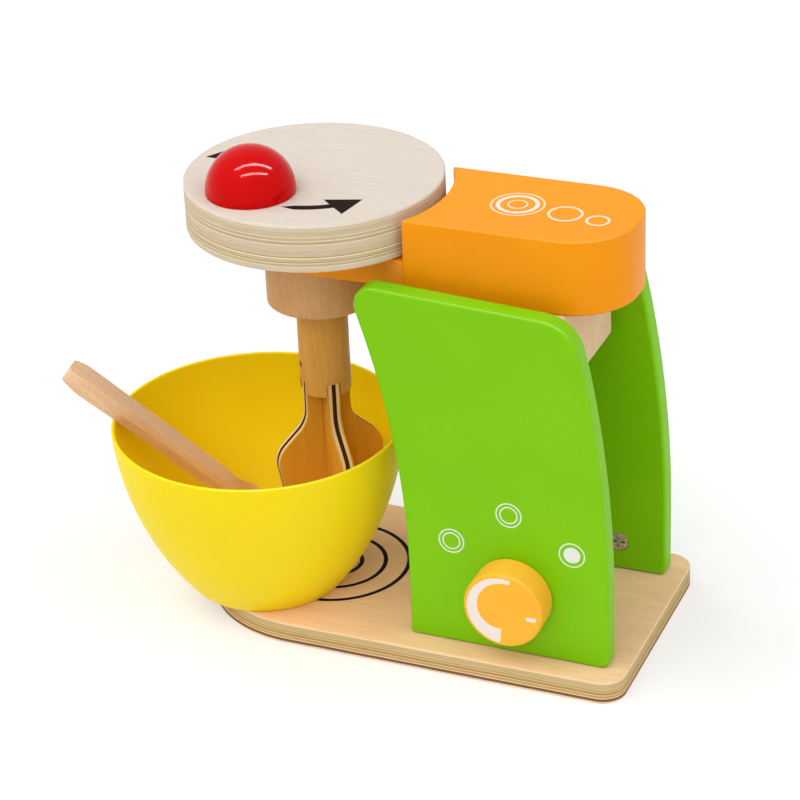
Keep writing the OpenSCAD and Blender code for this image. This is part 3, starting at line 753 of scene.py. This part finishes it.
knob_low, knob_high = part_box("red_knob")
knob_r = (knob_high.x - knob_low.x) / 2
knob_axis = Vector(((knob_low.x + knob_high.x) / 2, (knob_low.y + knob_high.y) / 2, knob_low.z))
knob_skirt = knob_high.z - knob_low.z - knob_r
knob_edge_r = 0.6 * MM
skirt = rounded([(0, 0, 0), (knob_r, 0, knob_edge_r), (knob_r, knob_skirt, 0)], steps=4)[1:-1]
ball = [
    (knob_r * math.cos(math.radians(a)), knob_skirt + knob_r * math.sin(math.radians(a)))
    for a in range(0, 91, 3)
]
red_knob = turned("red_knob_turned", bore + skirt + ball, knob_axis)

red = finish(
    "red lacquer",
    tint=lambda tree: use(
        tree, spray, Paint=linear("#c80002"), Thin=linear("#d00103")
    )["Colour"],
    roughness=lambda tree: ramp(
        tree, use(tree, spray)["Gloss"], 0.3, 0.7, start=0.05, end=0.09
    ),
    relief=lambda tree: use(tree, spray)["Gloss"],
    depth=0.01 * MM,
    Specular_IOR_Level=0.09,
)
fit(red_knob, red, "beater", "red_lacquer", "red_knob")
refinish(steel, "knob_screw")

# Dial
# A wheel turned from wood with a rounded front edge, sprayed yellow. A white sweep and a short
# mark are printed on its face. It turns on a screw from inside the panel.

dial_low, dial_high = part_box("dial")
dial_r = (dial_high.x - dial_low.x) / 2
dial_axis = Vector(((dial_low.x + dial_high.x) / 2, dial_high.y, (dial_low.z + dial_high.z) / 2))
dial_depth = dial_high.y - dial_low.y
dial_back_edge_r = 0.8 * MM
dial_front_edge_r = 1.7 * MM
dial_profile = bore + rounded([
    (0, 0, 0),
    (dial_r, 0, dial_back_edge_r),
    (dial_r, dial_depth, dial_front_edge_r),
    (0, dial_depth, 0),
])[1:]
dial = turned("dial_turned", dial_profile, dial_axis, axis=(0, -1, 0))

# The sweep runs round the dial from one bearing to another and widens inward. The short mark
# is a bar with round ends, beside the dial's centre.
sweep_start = math.radians(76)
sweep_span = math.radians(190)
sweep_outer = 16.6 * MM
sweep_thin = 2.0 * MM
sweep_thick = 7.4 * MM
bar_x = 13.5 * MM
bar_z = -1.8 * MM
bar_half_length = 1.5 * MM
bar_half_width = 1.0 * MM


def sweep_ink(tree, reach, bearing):
    """The sweep at a distance and a bearing from the dial's centre"""
    swept = calc(tree, "WRAP", calc(tree, "SUBTRACT", bearing, sweep_start), 2 * math.pi, 0.0)
    width = add(tree, "MapRange", {
        "Value": swept, "From Max": sweep_span, "To Min": sweep_thin, "To Max": sweep_thick,
    }).outputs["Result"]
    within = calc(tree, "LESS_THAN", swept, sweep_span)
    depth = calc(tree, "SUBTRACT", sweep_outer, reach)
    inner = inked(tree, calc(tree, "SUBTRACT", width, depth))
    return calc(tree, "MULTIPLY", within, calc(tree, "MULTIPLY", inked(tree, depth), inner))


def bar_ink(tree, x, z):
    """The short mark, from the distances to the dial's centre"""
    along = calc(tree, "ABSOLUTE", calc(tree, "SUBTRACT", x, bar_x))
    past_end = calc(tree, "MAXIMUM", calc(tree, "SUBTRACT", along, bar_half_length), 0.0)
    level = calc(tree, "SUBTRACT", z, bar_z)
    squares = calc(
        tree, "ADD",
        calc(tree, "MULTIPLY", past_end, past_end), calc(tree, "MULTIPLY", level, level),
    )
    return inked(tree, calc(tree, "SUBTRACT", bar_half_width, calc(tree, "SQRT", squares)))


def dial_marks(tree):
    """The sweep and the short mark on the dial's front"""
    centre = Vector((dial_axis.x, 0, dial_axis.z))
    point = stretched(tree, place(tree), (1, 0, 1))
    offset = add(tree, "VectorMath", {0: point, 1: centre}, operation="SUBTRACT").outputs["Vector"]
    axes = add(tree, "SeparateXYZ", {"Vector": offset}).outputs
    reach = add(tree, "VectorMath", {0: offset}, operation="LENGTH").outputs["Value"]
    bearing = calc(tree, "ARCTAN2", axes["Z"], axes["X"])
    sweep = sweep_ink(tree, reach, bearing)
    ink = calc(tree, "MAXIMUM", sweep, bar_ink(tree, axes["X"], axes["Z"]))
    return calc(tree, "MULTIPLY", ink, on_face(tree, "Y", dial_low.y, -1))


yellow = painted("yellow paint", "#fbb330", "#fdbb3d", dial_marks, "#f2e4dc")
fit(dial, yellow, "dial", "yellow_paint", "dial")
refinish(steel, "dial_screw", "dial_washer")

# Bowl
# A thin bowl moulded in one shot of yellow plastic with a fine matt skin, its rim rounded. It
# stands loose on the board.

# Its outline: the walls are two arcs on one centre, joined by a rounded rim, and the foot is a
# low ring around a shallow hollow.
bowl_low, bowl_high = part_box("bowl")
bowl_axis = Vector(((bowl_low.x + bowl_high.x) / 2, (bowl_low.y + bowl_high.y) / 2, bowl_low.z))
bowl_rim_r = (bowl_high.x - bowl_low.x) / 2
bowl_foot_r = 36.3 * MM
bowl_height = bowl_high.z - bowl_low.z
bowl_wall = 1.8 * MM
rim_edge_r = 0.45 * bowl_wall
foot_ring = 4 * MM
foot_hollow = 0.8 * MM
foot_inner_edge_r = 0.3 * MM
foot_outer_edge_r = 1.5 * MM
foot_height = 5 * MM
floor_level = foot_hollow + bowl_wall
floor_corner_r = 8 * MM
floor_corner_height = 11 * MM
wall_curve_r = 145 * MM
inner_curve_r = wall_curve_r - bowl_wall
chord = Vector((bowl_rim_r - bowl_foot_r, bowl_height))
inward = Vector((-chord.y, chord.x)).normalized()
to_centre = math.sqrt(wall_curve_r ** 2 - (chord.length / 2) ** 2)
curve_centre = Vector((bowl_foot_r, 0)) + chord / 2 + inward * to_centre


def wall_at(r, height, rounding=0):
    """A corner of the outline on the wall whose arc has radius r"""
    return curve_centre.x + math.sqrt(r ** 2 - (height - curve_centre.y) ** 2), height, rounding


def wall(r, start, end, steps=28):
    """Points along the wall whose arc has radius r, from one height to another"""
    return [wall_at(r, start + (end - start) * step / steps) for step in range(steps + 1)]


bowl_corners = [
    (0, foot_hollow, 0),
    (bowl_foot_r - foot_ring, foot_hollow, 0),
    (bowl_foot_r - foot_ring, 0, foot_inner_edge_r),
    wall_at(wall_curve_r, 0, foot_outer_edge_r),
    *wall(wall_curve_r, foot_height, bowl_height - bowl_wall),
    wall_at(wall_curve_r, bowl_height, rim_edge_r),
    wall_at(inner_curve_r, bowl_height, rim_edge_r),
    *wall(inner_curve_r, bowl_height - bowl_wall, floor_level + floor_corner_height),
    wall_at(inner_curve_r, floor_level, floor_corner_r),
    (0, floor_level, 0),
]
bowl = turned("bowl_moulded", rounded(bowl_corners), bowl_axis, steps=192)

bowl_plastic = finish(
    "yellow moulded plastic",
    tint=lambda tree: blend(
        tree, use(tree, blotch, Scale=30.0)["Cloud"], linear("#ffda0a"), linear("#ffde10")
    ),
    roughness=lambda tree: ramp(
        tree, use(tree, blotch, Scale=1500.0)["Cloud"], 0.3, 0.7, start=0.4, end=0.52
    ),
    relief=lambda tree: use(tree, blotch, Scale=1800.0)["Cloud"],
    depth=0.02 * MM,
    Specular_IOR_Level=0.15,
    Subsurface_Weight=0.6,
    Subsurface_Scale=4 * MM,
    Subsurface_Radius=(1.0, 0.75, 0.1),
)
fit(bowl, bowl_plastic, "bowl", "bowl_plastic", "bowl")

# Spoon
# A spoon sawn and carved from one stick of solid wood with the grain along it. The handle keeps
# the flats of the plane, and the head is hollowed. It leans loose in the bowl.

# The spoon lies along X, with its handle's end at spoon_up, and is then turned to its place.
# Each reach is the stretch over which one shape passes into the next.
spoon_up = -37.2 * MM
spoon_down = 106.8 * MM
head_start = 70 * MM
head_widest = 91 * MM
oval_length = spoon_down + 0.01 * MM - head_widest
shoulder_reach = (head_start, head_start + 17 * MM)
head_reach = (head_start - 6 * MM, head_start + 14 * MM)
tip_reach = (spoon_down - 12 * MM, spoon_down)
neck_reach = (30 * MM, head_start)
cut_reach = (spoon_up, spoon_up + 12 * MM)
square_reach = (spoon_up + 8 * MM, spoon_up + 45 * MM)

# Half widths of the head and the handle, and how far the handle's end and its corners narrow
head_half = 13.0 * MM
handle_half = 6.4 * MM
neck_narrowing = 0.8 * MM
end_length = 10 * MM
end_narrowing = 0.22
corner_length = 2.5 * MM
corner_narrowing = 0.15

# Heights of the top and the bottom, and how far they come in at the head, the tip and the end
spoon_top = 9.0 * MM
head_top_drop = 2.2 * MM
tip_top_drop = 1.5 * MM
tip_bottom_rise = 2.0 * MM
end_thinning = 0.8 * MM
hollow_depth = 3.6 * MM
hollow_tip_loss = 0.6

# Across the spoon: the flat below as a share of the width, the height of the upright sides, the
# flat beside the hollow, the eased edges and the slant of the cut end
flat_share = 0.72
square_flat_gain = 0.24
head_flat_loss = 0.2
side_height = 3.3 * MM
square_side_gain = 3.9 * MM
head_side_loss = 2.0 * MM
brim_inset = 0.4 * MM
spoon_easing = 0.35 * MM
narrow_half = 6 * MM
slant_across = 0.45
slant_down = 0.3
face_steps = 12


def eased(value, low, high):
    """0 below the low value, 1 above the high one, and a smooth step between them"""
    share = min(max((value - low) / (high - low), 0), 1)
    return share * share * (3 - 2 * share)


def spoon_width(x):
    """Half the width of the spoon at a point of its length"""
    handle = handle_half - neck_narrowing * eased(x, *neck_reach)
    from_end = x - spoon_up
    rounding = 1 - math.sin(math.pi / 2 * min(from_end / end_length, 1))
    corner = 1 - min(from_end / corner_length, 1)
    handle *= 1 - end_narrowing * rounding - corner_narrowing * corner ** 2
    if x <= head_start:
        return handle
    away = max((x - head_widest) / oval_length, 0)
    oval = head_half * math.sqrt(1 - away * away)
    return handle + (oval - handle) * eased(x, *shoulder_reach)


def spoon_section(x):
    """The outline across the spoon at a point of its length, slanted where the handle is cut off"""
    half = spoon_width(x)
    fullness = min(half / narrow_half, 1)
    in_head = eased(x, *head_reach)
    at_tip = eased(x, *tip_reach)
    at_end = 1 - eased(x, *cut_reach)
    squared = 1 - eased(x, *square_reach)
    top = spoon_top - head_top_drop * in_head - end_thinning * at_end - tip_top_drop * at_tip
    bottom = end_thinning * at_end + tip_bottom_rise * at_tip
    hollow = hollow_depth * in_head * min(half / head_half, 1) * (1 - hollow_tip_loss * at_tip)
    flat = half * (flat_share + square_flat_gain * squared - head_flat_loss * in_head)
    side = side_height + square_side_gain * squared - head_side_loss * in_head
    side_foot = top - side * fullness
    brim = half - brim_inset * fullness
    edge_r = spoon_easing * fullness
    across = [-1 + 2 * step / face_steps for step in range(face_steps + 1)]
    outline = [(brim * share, top - hollow * (1 - share * share), 0) for share in across]
    outline[0] = outline[0][:2] + (edge_r,)
    outline[-1] = outline[-1][:2] + (edge_r,)
    outline += [(half, side_foot, edge_r), (flat, bottom, edge_r)]
    outline += [(-flat, bottom, edge_r), (-half, side_foot, edge_r)]
    return [
        (x + at_end * (slant_across * y + slant_down * (top - z)), y, z)
        for y, z in rounded(outline, steps=3)
    ]


def lofted(name, outlines, place_at):
    """A piece drawn through closed outlines that follow one another"""
    shape = bmesh.new()
    rings = [[shape.verts.new(point) for point in outline] for outline in outlines]
    count = len(rings[0])
    for ring, following in zip(rings, rings[1:]):
        for step in range(count):
            ahead = (step + 1) % count
            shape.faces.new((ring[step], ring[ahead], following[ahead], following[step]))
    shape.faces.new(rings[0])
    shape.faces.new(rings[-1])
    bmesh.ops.recalc_face_normals(shape, faces=shape.faces)
    shape.transform(place_at)
    return piece_from(shape, name)


rest_point = Vector((-89.61, -38.13, 93.1)) * MM
spoon_turn = Euler([math.radians(angle) for angle in (19.59, 47.7, 43)])
spoon_lift = Matrix.Translation((0, 0, 0.6 * MM))
spoon_place = Matrix.Translation(rest_point) @ spoon_turn.to_matrix().to_4x4() @ spoon_lift

# Where the outlines lie, in millimetres from the handle's end: closest where the shape turns
cuts = [0.2, 0.6, 1.2, 2, 3, 4.5, 6.5, 9, 12, 16, 22, 30, 45, 60, 75, 88]
cuts += list(range(94, 132, 3)) + [134, 137, 139.5, 141.3, 142.6, 143.4, 143.8]
outlines = [spoon_section(spoon_up + cut * MM) for cut in cuts]
spoon = lofted("spoon_carved", outlines, spoon_place)
along_spoon = spoon_place.to_3x3() @ Vector((1, 0, 0))
spoon_wood = solid_wood(
    "spoon wood", "#f8d3ac", "#eac095", fibres=(along_spoon, 1000, 45), flecks=0.2
)
fit(spoon, spoon_wood, "spoon", "plain_wood", "spoon")

# Table and light
# A plain white table top that runs out of view under an even white sky, with soft lamps from
# the left, the right and the front, and two long strips that only gloss shows.

table_reach = 6.0
table_corners = [
    (x * table_reach, y * table_reach, 0) for x, y in ((-1, -1), (1, -1), (1, 1), (-1, 1))
]
table_mesh = bpy.data.meshes.new("table")
table_mesh.from_pydata(table_corners, [], [(0, 1, 2, 3)])
table = bpy.data.objects.new("table", table_mesh)
table.location.z = -0.05 * MM
bpy.context.scene.collection.objects.link(table)


def seen_or_mirrored(tree):
    """1 for what the camera sees, straight or in a gloss or a glass, and 0 for what lights"""
    rays = add(tree, "LightPath").outputs
    gloss = calc(tree, "MAXIMUM", rays["Is Glossy Ray"], rays["Is Transmission Ray"])
    return calc(tree, "MAXIMUM", rays["Is Camera Ray"], gloss)


# The table shows as white, by its own faint glow, but lights the part like pale card.
table_seen = 0.6
table_lighting = 0.84
table_glow = 0.4
white = bpy.data.materials.new("white table")
white.use_nodes = True
table_tree = white.node_tree
table_shader = table_tree.nodes["Principled BSDF"]
seen = seen_or_mirrored(table_tree)
table_tones = {"Value": seen, "To Min": table_lighting, "To Max": table_seen}
lit = add(table_tree, "MapRange", table_tones).outputs["Result"]
tone = add(table_tree, "CombineColor", {"Red": lit, "Green": lit, "Blue": lit})
glow = calc(table_tree, "MULTIPLY", seen, table_glow)
table_tree.links.new(tone.outputs["Color"], table_shader.inputs["Base Color"])
table_tree.links.new(glow, table_shader.inputs["Emission Strength"])
table_shader.inputs["Emission Color"].default_value = (1, 1, 1, 1)
table_shader.inputs["Roughness"].default_value = 0.9
table_shader.inputs["Specular IOR Level"].default_value = 0.0
table_mesh.materials.append(white)

# The sky shows as white, and lights the part less than that.
sky_seen = 1.0
sky_lighting = 0.32
sky = bpy.data.worlds.new("white sky")
bpy.context.scene.world = sky
sky.use_nodes = True
sky_tree = sky.node_tree
sky_tones = {"Value": seen_or_mirrored(sky_tree), "To Min": sky_lighting, "To Max": sky_seen}
strength = add(sky_tree, "MapRange", sky_tones).outputs["Result"]
background = sky_tree.nodes["Background"]
background.inputs["Color"].default_value = (1, 1, 1, 1)
sky_tree.links.new(strength, background.inputs["Strength"])


def hang(lamp, place_at, along=(1, 0, 0)):
    """Hangs a lamp at a place, facing the part, with its long side along a direction"""
    stand = bpy.data.objects.new(lamp.name, lamp)
    away = Vector(place_at).normalized()
    side = (Vector(along) - away * away.dot(Vector(along))).normalized()
    turn = Matrix((side, away.cross(side), away)).transposed().to_4x4()
    stand.matrix_world = Matrix.Translation(place_at) @ turn
    bpy.context.scene.collection.objects.link(stand)
    return stand


def far_light(name, energy, spread, place_at):
    """A soft light from far away, spread over degrees, which gloss doesn't show as a spot"""
    lamp = bpy.data.lights.new(name, "SUN")
    lamp.energy = energy
    lamp.angle = math.radians(spread)
    hang(lamp, place_at).visible_glossy = False


strip_radiance = 66
strip_along = (0.83, 0.56, 0)


def strip_light(name, length, width, place_at):
    """A long lamp overhead that only leaves a thin line in a gloss"""
    lamp = bpy.data.lights.new(name, "AREA")
    lamp.shape = "RECTANGLE"
    lamp.size = length
    lamp.size_y = width
    lamp.energy = strip_radiance * math.pi * length * width
    hang(lamp, place_at, strip_along).visible_diffuse = False


far_light("left key light", energy=1.4, spread=60, place_at=(-1.0, -0.25, 1.3))
far_light("right fill light", energy=1.05, spread=60, place_at=(1.0, -0.1, 1.1))
far_light("front fill light", energy=1.08, spread=50, place_at=(0.05, -1.0, 1.0))
strip_light("upper strip light", length=3.0, width=0.16, place_at=(0.27, 0.0, 1.9))
strip_light("lower strip light", length=2.2, width=0.12, place_at=(0.67, -0.6, 1.7))

# Camera
# It stands at the right front and looks down on the toy, from where the photo was taken.

photo_px = 800
focal_px = 2756.94
eye_point = Vector((478.0, -1017.5, 690.5)) * MM
yaw, pitch, roll = (math.radians(angle) for angle in (23.448, 27.889, -2.422))
camera = bpy.data.cameras.new("camera")
camera.sensor_width = 36
camera.lens = camera.sensor_width * focal_px / photo_px
eye = bpy.data.objects.new("camera", camera)
bpy.context.scene.collection.objects.link(eye)
back = Vector((math.sin(yaw) * math.cos(pitch), -math.cos(yaw) * math.cos(pitch), math.sin(pitch)))
level = Vector((math.cos(yaw), math.sin(yaw), 0))
upward = back.cross(level)
right = level * math.cos(roll) + upward * math.sin(roll)
top = upward * math.cos(roll) - level * math.sin(roll)
turn = Matrix((right, top, back)).transposed().to_4x4()
eye.matrix_world = Matrix.Translation(eye_point) @ turn
bpy.context.scene.camera = eye

bpy.context.scene.view_settings.view_transform = "Standard"
